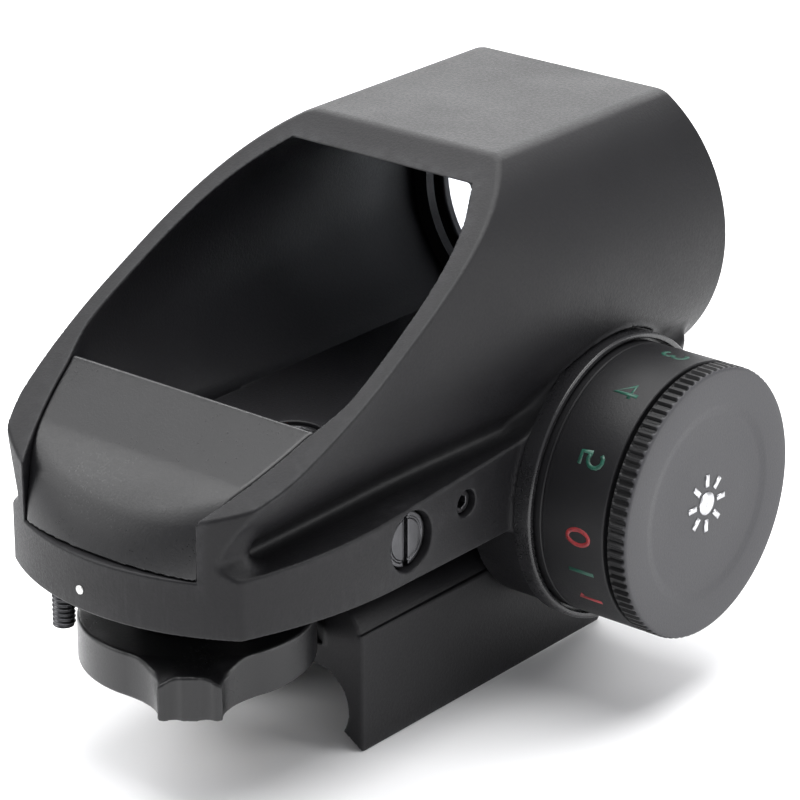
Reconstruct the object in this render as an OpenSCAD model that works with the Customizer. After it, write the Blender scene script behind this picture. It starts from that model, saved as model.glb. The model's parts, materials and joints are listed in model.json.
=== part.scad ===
// Open reflex red dot sight with an accessory-rail clamp.
// X is to the right (knob side), Y is forward (objective), Z is up.
// The origin is at the middle of the rail seat, the face that rests on the rail.

/* [Hood] */
// Width of the hood across its widest point
hood_w = 41; // [38:0.5:44]
// Height of the hood's flat top above the rail seat
hood_top = 49.2; // [47:0.1:51]
// How far the hood reaches forward of the rail clamp's middle
hood_front = 30; // [28:0.5:34]
// Wall thickness of the hood
hood_wall = 2.2; // [1.8:0.1:2.6]
// Slope of the sloping rear opening, in degrees from level
rim_slope = 29.1; // [26:0.1:32]

/* [Base] */
// Width of the base
base_w = 37.6; // [36:0.2:39]
// Height of the base's underside above the rail seat
base_bottom = 12.7; // [12:0.1:13.4]
// Height of the base's side band at the rear corner
band_h = 6.2; // [5.6:0.1:6.8]

/* [Knob] */
// Radius of the fixed collar
collar_r = 15.15; // [14.6:0.05:15.6]
// Radius of the brightness drum and the battery cap
drum_r = 14.2; // [13.6:0.05:14.4]
// Number of ridges in the cap's knurl
knurl_count = 90; // [60:2:120]

/* [Reticle dial] */
// Radius of the selector dial
dial_r = 11.8; // [11:0.1:11.8]
// Thickness of the selector dial
dial_h = 4.8; // [4:0.1:5]

/* [Rail clamp] */
// Length of the clamp along the rail
clamp_l = 40; // [36:1:42]
// Width of the rail across its edges
rail_w = 21.2; // [21:0.1:21.4]
// Height of the clamp's outer jaw faces
jaw_h = 12.4; // [12:0.1:13]

/* [Hidden] */
$fn = 96;
far = 60;
fit = 0.08;

// Hood: two side arcs under a flat top, and the plane of the rear opening
arc_r = 17;
arc_x = hood_w / 2 - arc_r;
arc_z = 34.5;
rim_y = 1.8;
plan_r = 180;
hood_floor = 22;
lip_inset = 4.8;
lip_t = 1;
lens_t = 1.9;
lens_y = hood_front - lip_t - lens_t;
ring_t = 1.2;

// Base: plan arcs of its sides and rear, and the tilted top of its side band
side_r = 44;
side_y = -22;
rear_r = 26.8;
rear_y = -18;
base_front = 26;
band_top = base_bottom + band_h;
band_tilt = 4.5;
neck_half = 14;
neck_inset = 1.4;
neck_top = 24;
corner_y = -40.2;
floor_top = base_bottom + 1.5;
well_x = 11.4;
well_y0 = -42;
well_y1 = -13.5;
well_roof = 19.6;
wall = 2.3;

// Rear cover: deck edge, sloping front and wall
deck_y = -30.4;
cover_front_y = -22;
cover_gap = 0.1;
cover_wall = 1.3;
cover_half = 11.8;
cover_inset = 2.4;
crest_z = 20.7;
crest_fall = 1.7;
crest_in = 6;
cover_screw_x = 9.2;
cover_screw_y = -36.2;
cover_screw_r = 1;
cover_boss_r = 1.8;
window_w = 7;
window_t = 0.8;

// White index dots on the right side and the rear face
dot_r = 0.45;
dot_depth = 0.3;
side_dot_y = -3.9;
side_dot_z = 14.6;
rear_dot_x = -1.6;
rear_dot_y = rear_y - rear_r + 0.25;
rear_dot_z = 14.9;

// Windage and elevation adjusters
adj_head_r = 2.9;
adj_head_t = 1.1;
adj_shank_r = 1.25;
plunger_r = 2;
band_x = base_w / 2;
windage_y = -19.8;
windage_z = 17;
windage_head_x = band_x - 1.9;
windage_lock_y = -11.3;
windage_lock_z = 18.1;
elevation_y = -15.6;
elevation_head_z = hood_floor - 1.4;
elevation_lock_x = 5.4;
lock_r = 1.25;
guide_r = 3.3;
slot_t = 0.7;

// Windage frame, emitter tray and reticle drum
dial_y = -30.2;
frame_z = 14.9;
frame_t = 1.2;
frame_half = 7;
frame_pin_y = -39.6;
frame_pin_r = 0.9;
pad_x0 = 4.2;
pad_x1 = 6.1;
tray_z = 16.7;
tray_t = 1.2;
tray_top = tray_z + tray_t;
tray_half = 5.3;
tray_pin_y = -36.4;
tray_pin_z = 17.3;
tray_pin_r = 0.5;
reticle_r = 3.9;
reticle_z = 18;
reticle_h = 5;
reticle_step = 15;
hub_r = 2.2;
hub_z = 15.25;
tongue_t = 0.9;

// Selector dial, its shaft and detent, and the stop screw
dial_top = 8.13;
dial_bottom = dial_top - dial_h;
lug_angle = -50.5;
lug_w = 6.2;
lug_reach = 15.4;
lug_fillet = 3.4;
dial_hub_r = 6.4;
shaft_r = 2.4;
detent_r = 4.4;
ball_r = 1;
stop_x = -7.2;
stop_y = -41.4;
stop_r = 1.15;
stop_tip_z = 8.3;

// Knob: everything in it turns about an axis along X
knob_y = 11.1;
knob_z = 14.1;
boss_r = 14.5;
boss_x = 12.9;
pad_face_x = 19;
collar_x = 21;
drum_x0 = 21.2;
drum_x1 = 29.3;
cap_x0 = 29.8;
cap_x1 = 32;
spindle_r = 4;
spindle_x = 11;
spigot_r = 12.2;
cell_r = 10;
cell_t = 3.2;
cell_x = 25.4;
knob_ball_off = 7.6;

// Rail clamp
jaw_x = 12.5;
jaw_z = -8;
jaw_top = jaw_z + jaw_h;
shoulder_r = 3;
groove_x = rail_w / 2 + 0.05;
groove_r = 4.1;
tip_x = 9.67;
tip_z = -6.2;
split_x = 8.4;
split_gap = 0.1;
bolt_y = 12.5;
bolt_z = 2.9;
bolt_r = 2;
bolt_head_r = 3.5;
bolt_head_t = 2.6;
bolt_tip_x = 4;
dial_clear = 1;
mount_screw_y = [-7, 7];
mount_screw_r = 1.5;
mount_head_r = 2.7;
key_w = 4.4;
key_h = 2.4;

function rim_z(y) = hood_top - (rim_y - y) * tan(rim_slope);

// Extrusions along Y, X and Z, and round rods along X and Z
module along_y(y0, y1) { translate([0, y1, 0]) rotate([90, 0, 0]) linear_extrude(y1 - y0) children(); }
module along_x(x0, x1) { translate([x0, 0, 0]) rotate([90, 0, 90]) linear_extrude(x1 - x0) children(); }
module along_z(z0, z1) { translate([0, 0, z0]) linear_extrude(z1 - z0) children(); }
module rod_x(x0, x1, y, z, r) { translate([x0, y, z]) rotate([0, 90, 0]) cylinder(h = x1 - x0, r = r); }
module rod_y(y0, y1, x, z, r) { translate([x, y1, z]) rotate([90, 0, 0]) cylinder(h = y1 - y0, r = r); }
module rod_z(z0, z1, x, y, r) { translate([x, y, z0]) cylinder(h = z1 - z0, r = r); }
module block(x0, x1, y0, y1, z0, z1) { translate([x0, y0, z0]) cube([x1 - x0, y1 - y0, z1 - z0]); }
module knob_rod(x0, x1, r) { rod_x(x0, x1, knob_y, knob_z, r); }

// A close-coiled spring drawn as touching rings along Z
module ring_spring(h, r, wire) {
    turns = floor(h / (2 * wire));
    for (i = [0:turns - 1])
        translate([0, 0, wire + i * (h - 2 * wire) / (turns - 1)])
            rotate_extrude() translate([r, 0]) circle(wire, $fn = 16);
}

// Section of the hood; inset moves every side inwards, z0 is its lowest point
module hood_section(inset, z0) {
    intersection() {
        union() for (s = [-1, 1]) translate([s * arc_x, arc_z]) circle(arc_r - inset, $fn = 160);
        translate([-far, z0]) square([2 * far, hood_top - inset - z0]);
    }
}

// Plan outline of the base, narrowing to the curved rear face
module base_plan(inset) {
    intersection() {
        intersection_for (s = [-1, 1])
            translate([s * (band_x - side_r), side_y]) circle(side_r - inset, $fn = 240);
        translate([0, rear_y]) circle(rear_r - inset, $fn = 240);
        translate([-far, -far]) square([2 * far, far + side_y]);
    }
    translate([inset - band_x, side_y]) square([base_w - 2 * inset, base_front - inset - side_y]);
}

// Plan outline of the hood, narrowing gently towards the eye end
module hood_plan(inset) {
    intersection() {
        intersection_for (s = [-1, 1])
            translate([s * (hood_w / 2 - plan_r), 0]) circle(plan_r - inset, $fn = 480);
        translate([0, rear_y]) circle(rear_r - inset, $fn = 240);
        translate([-far, -far]) square([2 * far, far + rear_y]);
    }
    intersection() {
        intersection_for (s = [-1, 1])
            translate([s * (hood_w / 2 - plan_r), 0]) circle(plan_r - inset, $fn = 480);
        translate([-far, rear_y]) square([2 * far, -rear_y]);
    }
    translate([inset - hood_w / 2, 0]) square([hood_w - 2 * inset, hood_front]);
}

// Side view of everything below the sloping rear opening
module rim_side() {
    polygon([[-50, -10], [far, -10], [far, hood_top], [rim_y, hood_top], [-50, rim_z(-50)]]);
}

// Side view of the base, whose band rises towards the front
module band_side() {
    polygon([[-50, base_bottom], [far, base_bottom], [far, band_top + (far - corner_y) * tan(band_tilt)],
        [corner_y, band_top], [-50, band_top]]);
}

// Side view of the rear cover's seat: open above, sloping at the front
module cover_side(gap) {
    polygon([[-50, band_top + gap], [cover_front_y - gap, band_top + gap], [cover_front_y - gap, hood_floor],
        [deck_y - gap, 31], [-50, 31 - (50 + deck_y) * tan(rim_slope)]]);
}

module housing() {
    color("#2b2b30") union() {
        difference() {
            union() {
                intersection() {
                    along_y(-50, hood_front) hood_section(0, base_bottom);
                    along_z(base_bottom, hood_top) hood_plan(0);
                    along_x(-far, far) rim_side();
                }
                intersection() {
                    along_z(base_bottom, 30) base_plan(0);
                    along_x(-far, far) band_side();
                }
                along_z(band_top - 1, neck_top) intersection() {
                    base_plan(neck_inset);
                    translate([-neck_half, -far]) square([2 * neck_half, far]);
                }
                knob_rod(boss_x, pad_face_x, boss_r);
            }
            intersection() {
                along_y(-50, hood_front - lip_t) hood_section(hood_wall, hood_floor);
                along_z(band_top, hood_top) hood_plan(hood_wall);
            }
            along_y(hood_front - lip_t - 1, hood_front + 1) hood_section(lip_inset, hood_floor + 2.6);
            knob_rod(pad_face_x, pad_face_x + 10, collar_r + 0.15);
            emitter_well();
            cover_screw_bores();
            windage_bores();
            elevation_bores();
            dial_bores();
            knob_bores();
            for (y = mount_screw_y) rod_z(base_bottom - 1, base_bottom + 4.8, 0, y, mount_screw_r + fit);
            rod_x(band_x - dot_depth, band_x + 1, side_dot_y, side_dot_z, dot_r);
            rod_y(rear_dot_y - 1, rear_dot_y, rear_dot_x, rear_dot_z, dot_r);
        }
        elevation_guide();
    }
}

// Well under the rear cover that holds the emitter, roofed in front of the cover
module emitter_well() {
    intersection() {
        along_z(floor_top, hood_floor + 1) base_plan(wall);
        union() {
            block(-well_x, well_x, well_y0, cover_front_y, floor_top, hood_floor + 1);
            block(-well_x, well_x, cover_front_y - 1, well_y1, floor_top, well_roof);
        }
    }
    intersection() {
        along_z(band_top, hood_top) cover_plan(0);
        along_y(-50, deck_y) cover_section(0);
    }
    intersection() {
        along_z(band_top, hood_top) cover_plan(0);
        along_x(-cover_half, cover_half) cover_side(0);
    }
}

module cover_screw_bores() {
    for (s = [-1, 1]) {
        rod_z(base_bottom - 1, band_top, s * cover_screw_x, cover_screw_y, cover_screw_r + fit);
        rod_z(base_bottom - 1, base_bottom + 0.9, s * cover_screw_x, cover_screw_y, 2);
    }
}

module windage_bores() {
    rod_x(windage_head_x, band_x + 1, windage_y, windage_z, adj_head_r + fit);
    rod_x(well_x - 1, band_x, windage_y, windage_z, adj_shank_r + fit);
    rod_x(well_x - 1, 14.6, windage_y, windage_z, plunger_r + fit);
    rod_x(14.2, band_x + 1, windage_lock_y, windage_lock_z, lock_r + fit);
}

module elevation_bores() {
    rod_z(elevation_head_z, hood_floor + 1, 0, elevation_y, adj_head_r + fit);
    rod_z(well_roof - 1, hood_floor, 0, elevation_y, plunger_r + fit);
    rod_z(hood_floor - 2, hood_floor + 1, elevation_lock_x, elevation_y, lock_r + fit);
}

// Boss under the hood's floor that guides the elevation plunger
module elevation_guide() {
    difference() {
        rod_z(18.9, well_roof + 0.2, 0, elevation_y, guide_r);
        rod_z(18, well_roof + 1, 0, elevation_y, plunger_r + fit);
    }
}

// Bores and the detent track for the selector dial
module dial_bores() {
    rod_z(base_bottom - 1, floor_top + 1, 0, dial_y, shaft_r + fit);
    translate([0, dial_y, base_bottom - 0.75])
        rotate_extrude() translate([detent_r, 0]) circle(ball_r + 0.05, $fn = 48);
    for (i = [0:3]) rotate_about_dial(-reticle_step * i)
        translate([0, detent_r, base_bottom - 0.6]) sphere(ball_r + 0.05, $fn = 48);
    rod_z(base_bottom - 1, frame_z, stop_x, stop_y, stop_r + fit);
    rod_z(floor_top - 1, floor_top + 1, 0, frame_pin_y, frame_pin_r);
}

// Bores for the drum's spindle and the way of the leads
module knob_bores() {
    knob_rod(spindle_x - 1, pad_face_x + 1, spindle_r + fit);
    knob_rod(spindle_x - 3, spindle_x + 2.2, 6.5);
    block(5, 8.5, well_y1 - 1, knob_y, base_bottom + 2, base_bottom + 4.5);
    rod_x(pad_face_x - 3.6, pad_face_x + 1, knob_y, knob_z + knob_ball_off, ball_r + 0.08);
}

module rotate_about_dial(a) { translate([0, dial_y, 0]) rotate([0, 0, a]) children(); }

module front_lens() {
    color("#8fa6c8", 0.5) along_y(lens_y, lens_y + lens_t) hood_section(hood_wall + 0.05, hood_floor + 0.6);
}

module lens_ring() {
    color("#1c1c1f") difference() {
        along_y(lens_y - ring_t, lens_y) hood_section(hood_wall + 0.05, hood_floor + 0.6);
        along_y(lens_y - ring_t - 1, lens_y + 1) hood_section(lip_inset - 0.8, hood_floor + 2.2);
    }
}

module rear_cover() {
    color("#34343a") {
        difference() {
            cover_solid(cover_gap, 0);
            cover_solid(cover_gap + cover_wall, cover_wall);
            window_pocket(0.05);
        }
        for (s = [-1, 1]) difference() {
            rod_z(band_top - 3.2, 26, s * cover_screw_x, cover_screw_y, cover_boss_r);
            rod_z(band_top - 4, 24.2, s * cover_screw_x, cover_screw_y, cover_screw_r);
        }
    }
}

// Plan outline of the room for the cover, open at the rear; inset moves its sides inwards
module cover_plan(inset) {
    half = band_x - cover_inset - inset;
    intersection() {
        intersection_for (s = [-1, 1])
            translate([s * (band_x - side_r), side_y]) circle(side_r - cover_inset - inset, $fn = 240);
        translate([-far, -far]) square([2 * far, far + side_y]);
    }
    translate([-half, side_y]) square([2 * half, 20]);
}

// Section of that room: the hood's inside over straight sides
module cover_section(inset) {
    hood_section(hood_wall + inset, 0);
    translate([inset - cover_half, 0]) square([2 * (cover_half - inset), 40]);
}

// Outside of the cover, or its hollow when drop lowers the top; its rear is level with the base's
module cover_solid(inset, drop) {
    z0 = band_top + (drop > 0 ? -1 : cover_gap);
    r = rear_r - drop;
    z1 = crest_z - drop;
    intersection() {
        along_z(z0, 31.3) cover_plan(inset);
        translate([0, rear_y, 0]) rotate_extrude($fn = 240)
            polygon([[0, 0], [r, 0], [r, z1], [r - crest_in, z1 + crest_in * crest_fall],
                [0, z1 + crest_in * crest_fall]]);
        along_x(-far, far) translate([0, -drop]) cover_side(inset - drop);
        along_y(-50, 0) cover_section(inset);
    }
}

module window_pocket(gap) {
    block(-window_w / 2 - gap, window_w / 2 + gap, cover_front_y - 9, cover_front_y + 1, 22.4 - gap, 26.4 + gap);
}

module cover_screws() {
    color("silver") for (s = [-1, 1]) {
        rod_z(base_bottom + 0.9, 23.5, s * cover_screw_x, cover_screw_y, cover_screw_r);
        difference() {
            rod_z(base_bottom - 0.2, base_bottom + 0.9, s * cover_screw_x, cover_screw_y, 1.9);
            rod_z(base_bottom - 1, base_bottom + 0.3, s * cover_screw_x, cover_screw_y, 0.9, $fn = 6);
        }
    }
}

module emitter_window() {
    color("#7e2a2a", 0.6) intersection() {
        window_pocket(-0.02);
        along_x(-far, far) polygon([[cover_front_y - 0.3, 22], [deck_y - 0.3, 31],
            [deck_y - 0.3 - window_t, 31], [cover_front_y - 0.3 - window_t, 22]]);
    }
}

// One dot filled into the right side for the knob, one into the rear face for the dial
module index_dots() {
    color("white") {
        rod_x(band_x - dot_depth, band_x, side_dot_y, side_dot_z, dot_r);
        rod_y(rear_dot_y - dot_depth, rear_dot_y, rear_dot_x, rear_dot_z, dot_r);
    }
}

// Profile of one jaw and its half of the rail channel, to the right of the middle
module clamp_profile() {
    difference() {
        union() {
            translate([-far, 0]) square([far + jaw_x - shoulder_r, base_bottom]);
            translate([0, jaw_z]) square([jaw_x, jaw_top - jaw_z]);
            translate([jaw_x - shoulder_r, jaw_top]) circle(shoulder_r);
        }
        translate([groove_x - groove_r, -groove_r]) circle(groove_r);
        translate([-far, -groove_r]) square([far + groove_x - groove_r, groove_r]);
        polygon([[-far, -groove_r - 0.5], [-far, -groove_r + 0.1], [groove_x, -groove_r + 0.1],
            [groove_x, -groove_r - 0.5], [tip_x, tip_z], [jaw_x + 0.01, jaw_z], [jaw_x, -20], [-far, -20]]);
    }
}

module mount_base() {
    color("#26262a") {
        difference() {
            along_y(-clamp_l / 2, clamp_l / 2) intersection() {
                clamp_profile();
                translate([-split_x, -20]) square([far, 40]);
            }
            rod_z(dial_bottom - 0.8, base_bottom + 1, 0, dial_y, dial_r + dial_clear);
            for (s = [-1, 1]) rod_x(-split_x - 1, bolt_tip_x + 1.5, s * bolt_y, bolt_z, bolt_r + fit);
            for (y = mount_screw_y) {
                rod_z(-1, base_bottom + 1, 0, y, mount_screw_r + fit);
                rod_z(-1, 3, 0, y, mount_head_r + fit);
            }
        }
        block(-split_x + 0.4, groove_x - groove_r, -key_w / 2, key_w / 2, -key_h, 0.2);
    }
}

module mount_screws() {
    color("silver") for (y = mount_screw_y) {
        rod_z(3, base_bottom + 4.5, 0, y, mount_screw_r);
        difference() {
            rod_z(0.5, 3, 0, y, mount_head_r);
            rod_z(0, 1.9, 0, y, 1.5, $fn = 6);
        }
    }
}

module clamp_jaw() {
    color("#26262a") difference() {
        along_y(-clamp_l / 2, clamp_l / 2) mirror([1, 0]) intersection() {
            clamp_profile();
            translate([split_x + split_gap, -20]) square([far, 20 + jaw_top + shoulder_r]);
        }
        for (s = [-1, 1]) rod_x(-jaw_x - 1, -split_x, s * bolt_y, bolt_z, bolt_r + fit);
    }
}

// A cross bolt with a socket head outside the moving jaw
module clamp_screw(y) {
    color("#9a9aa0") difference() {
        union() {
            rod_x(-jaw_x, bolt_tip_x, y, bolt_z, bolt_r);
            rod_x(-jaw_x - bolt_head_t, -jaw_x, y, bolt_z, bolt_head_r);
        }
        rod_x(-jaw_x - bolt_head_t - 1, -jaw_x - 0.8, y, bolt_z, 1.75, $fn = 6);
    }
}

module clamp_screw_front() { clamp_screw(bolt_y); }
module clamp_screw_rear() { clamp_screw(-bolt_y); }

module windage_screw() {
    color("#4a4a50") difference() {
        union() {
            rod_x(windage_head_x + 0.1, windage_head_x + adj_head_t, windage_y, windage_z, adj_head_r);
            rod_x(10, windage_head_x + 0.5, windage_y, windage_z, adj_shank_r);
        }
        block(windage_head_x + 0.5, band_x, windage_y - slot_t / 2, windage_y + slot_t / 2,
            windage_z - 5, windage_z + 5);
    }
}

module windage_lock() {
    color("#3a3a40") difference() {
        rod_x(14.4, band_x - 0.7, windage_lock_y, windage_lock_z, lock_r);
        rod_x(band_x - 1.9, band_x, windage_lock_y, windage_lock_z, 0.75, $fn = 6);
    }
}

module windage_plunger() {
    color("#b08d3c") difference() {
        rod_x(pad_x1 + 0.15, 13.2, windage_y, windage_z, plunger_r);
        rod_x(9, 14, windage_y, windage_z, adj_shank_r + fit);
    }
}

module windage_frame() {
    color("#8a8c90") difference() {
        union() {
            block(-frame_half, frame_half, frame_pin_y - 1.4, windage_y + 1.9, frame_z, frame_z + frame_t);
            for (s = [-1, 1]) {
                translate([s * (tray_half + 1), 0, 0])
                    block(-0.7, 0.7, tray_pin_y - 1.6, tray_pin_y + 1.6, frame_z + frame_t, 18.9);
                translate([s * (pad_x0 + pad_x1) / 2, 0, 0])
                    block(-0.95, 0.95, windage_y - 1.9, windage_y + 1.9, frame_z + frame_t, 19);
            }
        }
        rod_z(frame_z - 1, frame_z + 2, 0, dial_y, 4.2);
        block(-3.8, 3.8, dial_y, windage_y + 3, frame_z - 1, frame_z + 2);
        for (s = [-1, 1]) translate([s * (pad_x1 + 2), 0, 0])
            block(-2, 2, windage_y - 2.8, windage_y + 3, frame_z - 1, frame_z + 2);
        rod_z(frame_z - 1, frame_z + 2, 0, frame_pin_y, frame_pin_r + 0.05);
        rod_x(-frame_half - 1, frame_half + 1, tray_pin_y, tray_pin_z, tray_pin_r);
    }
}

module frame_pin() {
    color("silver") {
        rod_z(floor_top - 1, frame_z + frame_t + 0.15, 0, frame_pin_y, frame_pin_r);
        rod_z(frame_z + frame_t + 0.1, frame_z + frame_t + 0.4, 0, frame_pin_y, 1.4);
    }
}

module windage_spring() {
    color("#c8c8cc") translate([-well_x + 0.1, windage_y, windage_z]) rotate([0, 90, 0])
        ring_spring(well_x - pad_x1 - 0.3, 1.5, 0.25);
}

module elevation_screw() {
    color("#4a4a50") difference() {
        union() {
            rod_z(elevation_head_z + 0.1, elevation_head_z + adj_head_t, 0, elevation_y, adj_head_r);
            rod_z(19.35, elevation_head_z + 0.5, 0, elevation_y, adj_shank_r);
        }
        block(-5, 5, elevation_y - slot_t / 2, elevation_y + slot_t / 2, elevation_head_z + 0.5, hood_floor);
    }
}

module elevation_lock() {
    color("#3a3a40") difference() {
        rod_z(hood_floor - 1.9, hood_floor - 0.3, elevation_lock_x, elevation_y, lock_r);
        rod_z(hood_floor - 1.3, hood_floor, elevation_lock_x, elevation_y, 0.75, $fn = 6);
    }
}

module elevation_plunger() {
    color("#b08d3c") difference() {
        rod_z(tray_top + 0.12, 19.7, 0, elevation_y, plunger_r);
        rod_z(18.5, 20, 0, elevation_y, adj_shank_r + fit);
    }
}

module elevation_spring() {
    color("#c8c8cc") translate([0, elevation_y, floor_top + 0.02]) ring_spring(tray_z - floor_top - 0.05, 1.5, 0.25);
}

module emitter_tray() {
    color("#3d5c42") difference() {
        union() {
            block(-tray_half, tray_half, tray_pin_y - 1.6, -24.5, tray_z, tray_top);
            block(-3.4, 3.4, -25, elevation_y + 1.7, tray_z, tray_top);
        }
        rod_z(tray_z - 1, tray_top + 1, 0, dial_y, hub_r + fit);
        rod_x(-far, far, tray_pin_y, tray_pin_z, tray_pin_r + 0.03);
    }
}

module tray_pin() {
    color("silver") rod_x(-frame_half, frame_half, tray_pin_y, tray_pin_z, tray_pin_r);
}

// Post behind the reticle drum with an arm above it that carries the LED
module led_bracket() {
    color("#8a8c90") {
        block(-1.5, 1.5, -37.8, -35.6, tray_top, 25);
        block(-1.5, 1.5, -35.7, dial_y + 1.2, 24, 25);
        rod_z(22.6, 24.1, 0, dial_y, 0.9);
    }
}

module led() {
    color("#f2efe4") {
        block(-0.8, 0.8, dial_y - 0.6, dial_y + 0.6, 20.6, 22.6);
        translate([0, dial_y + 0.6, 21.6]) sphere(0.55, $fn = 32);
    }
}

module led_leads() {
    color("#a02020") for (x = [6.2, 7.3]) rod_y(well_y1 - 0.5, knob_y - 6.2, x, base_bottom + 3.2, 0.4);
}

// Cup with four small reticle openings, driven through the slot in its hub
module reticle_drum() {
    color("#202022") difference() {
        union() {
            rod_z(reticle_z, reticle_z + reticle_h, 0, dial_y, reticle_r);
            rod_z(hub_z, reticle_z + 0.1, 0, dial_y, hub_r);
        }
        rod_z(reticle_z + 0.7, reticle_z + reticle_h + 1, 0, dial_y, reticle_r - 0.6);
        for (i = [0:3]) rotate_about_dial(reticle_step * i)
            translate([0, 0, 21.6]) rotate([-90, 0, 0]) cylinder(h = 6, r = 0.35);
        rotate_about_dial(90 + lug_angle) block(-3, 3, -1.15, 1.15, hub_z - 1, 17.2);
    }
}

// Outline of the dial: a disc with one grip lug, blended by concave fillets
module dial_outline() {
    a = asin((lug_w / 2 + lug_fillet) / (dial_r + lug_fillet));
    fx = (dial_r + lug_fillet) * cos(a);
    difference() {
        union() {
            circle(dial_r, $fn = 144);
            translate([0, -lug_w / 2 - lug_fillet * 0.72])
                square([fx, lug_w + lug_fillet * 1.44]);
            translate([0, -lug_w / 2]) square([lug_reach, lug_w]);
        }
        for (s = [-1, 1]) translate([fx, s * (lug_w / 2 + lug_fillet)]) circle(lug_fillet);
        for (s = [-1, 1]) translate([lug_reach + 0.75, s * lug_w / 4]) circle(1.05, $fn = 48);
    }
}

module selector_dial() {
    color("#2a2a2e") difference() {
        union() {
            along_z(dial_bottom, dial_top) translate([0, dial_y]) rotate(lug_angle) dial_outline();
            rod_z(dial_top - 0.5, base_bottom - 0.1, 0, dial_y, dial_hub_r);
        }
        rod_z(dial_bottom - 1, base_bottom, 0, dial_y, shaft_r);
        rod_z(dial_top, base_bottom, 0, dial_y + detent_r, ball_r + 0.06);
    }
}

module dial_shaft() {
    color("#b08d3c") difference() {
        union() {
            rod_z(dial_bottom, 14.95, 0, dial_y, shaft_r);
            rotate_about_dial(90 + lug_angle) block(-1.6, 1.6, -tongue_t / 2, tongue_t / 2, 14.9, 16.4);
        }
        difference() {
            rod_z(floor_top + 0.1, floor_top + 0.6, 0, dial_y, shaft_r + 1);
            rod_z(floor_top, floor_top + 1, 0, dial_y, shaft_r - 0.5);
        }
        rotate_about_dial(90 + lug_angle) block(-1.9, 1.9, -0.5, 0.5, dial_bottom - 1, dial_bottom + 0.8);
    }
}

module dial_clip() {
    color("silver") difference() {
        rod_z(floor_top + 0.12, floor_top + 0.58, 0, dial_y, 3.8);
        rod_z(floor_top, floor_top + 1, 0, dial_y, shaft_r - 0.48);
        translate([0, dial_y, 0]) block(-1.4, 1.4, -5, 0, floor_top, floor_top + 1);
    }
}

module dial_ball() {
    color("silver") translate([0, dial_y + detent_r, base_bottom - 0.75]) sphere(ball_r);
}

module dial_ball_spring() {
    color("#c8c8cc") translate([0, dial_y + detent_r, dial_top + 0.02])
        ring_spring(base_bottom - 0.75 - ball_r - dial_top - 0.04, 0.72, 0.16);
}

module stop_screw() {
    color("#3a3a40") difference() {
        rod_z(stop_tip_z, frame_z - 0.3, stop_x, stop_y, stop_r);
        rod_z(stop_tip_z - 1, stop_tip_z + 0.9, stop_x, stop_y, 0.6, $fn = 6);
    }
}

module knob_collar() {
    color("#2b2b30") difference() {
        knob_rod(pad_face_x, collar_x, collar_r);
        knob_rod(pad_face_x + 0.8, collar_x + 1, 13.2);
        knob_rod(pad_face_x - 1, collar_x + 1, spindle_r + fit);
        rod_x(pad_face_x - 1, collar_x + 1, knob_y, knob_z + knob_ball_off, ball_r + 0.08);
    }
}

module switch_board() {
    color("#1f5a34") difference() {
        knob_rod(pad_face_x + 0.85, pad_face_x + 1.45, 13);
        knob_rod(pad_face_x, collar_x, 4.6);
        rod_x(pad_face_x, collar_x, knob_y, knob_z + knob_ball_off, ball_r + 0.3);
    }
}

module knob_ball() {
    color("silver") translate([collar_x - 0.35, knob_y, knob_z + knob_ball_off]) sphere(ball_r);
}

module knob_ball_spring() {
    color("#c8c8cc") translate([pad_face_x - 3.5, knob_y, knob_z + knob_ball_off]) rotate([0, 90, 0])
        ring_spring(collar_x - 0.35 - ball_r - pad_face_x + 3.45, 0.72, 0.16);
}

module brightness_drum() {
    color("#2a2a2e") difference() {
        union() {
            knob_rod(drum_x0, drum_x1, drum_r);
            knob_rod(spindle_x, drum_x0 + 0.5, spindle_r);
        }
        knob_rod(cell_x - 1, drum_x1 + 1, cell_r + 0.3);
        knob_rod(cell_x + 1.4, drum_x1 + 1, spigot_r + 0.1);
        translate([drum_x0 - 0.4, knob_y, knob_z]) rotate([0, 90, 0])
            rotate_extrude() translate([knob_ball_off, 0]) circle(ball_r + 0.1, $fn = 48);
        difference() {
            knob_rod(spindle_x + 0.9, spindle_x + 1.4, spindle_r + 1);
            knob_rod(spindle_x, spindle_x + 2, spindle_r - 0.7);
        }
    }
}

module drum_clip() {
    color("silver") difference() {
        knob_rod(spindle_x + 0.92, spindle_x + 1.38, 5.6);
        knob_rod(spindle_x, spindle_x + 2, spindle_r - 0.68);
        translate([0, knob_y, knob_z]) block(spindle_x, spindle_x + 2, -1.8, 1.8, -8, 0);
    }
}

module contact_wiper() {
    color("#c9a24a") difference() {
        knob_rod(drum_x0 - 0.3, drum_x0, 12);
        knob_rod(drum_x0 - 1, drum_x0 + 1, 10);
    }
}

module battery_contact() {
    color("#c9a24a") {
        knob_rod(cell_x - 1, cell_x - 0.7, 6);
        knob_rod(cell_x - 0.7, cell_x, 2);
    }
}

module battery() { color("#c9ccd0") knob_rod(cell_x, cell_x + cell_t, cell_r); }

module cap_oring() {
    color("#101012") translate([(drum_x1 + cap_x0) / 2, knob_y, knob_z]) rotate([0, 90, 0])
        rotate_extrude() translate([12.9, 0]) circle(0.24, $fn = 24);
}

module battery_cap() {
    color("#4c4c52") {
        difference() {
            knob_rod(cap_x0, cap_x1, drum_r);
            for (i = [0:knurl_count - 1]) translate([0, knob_y, knob_z]) rotate([i * 360 / knurl_count, 0, 0])
                rod_x(cap_x0 - 1, cap_x1 - 0.35, 0, drum_r + 0.12, 0.3, $fn = 8);
        }
        difference() {
            knob_rod(cell_x + 1.7, cap_x0 + 0.1, spigot_r);
            knob_rod(cell_x, cap_x0, cell_r + 0.6);
        }
    }
}

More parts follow.
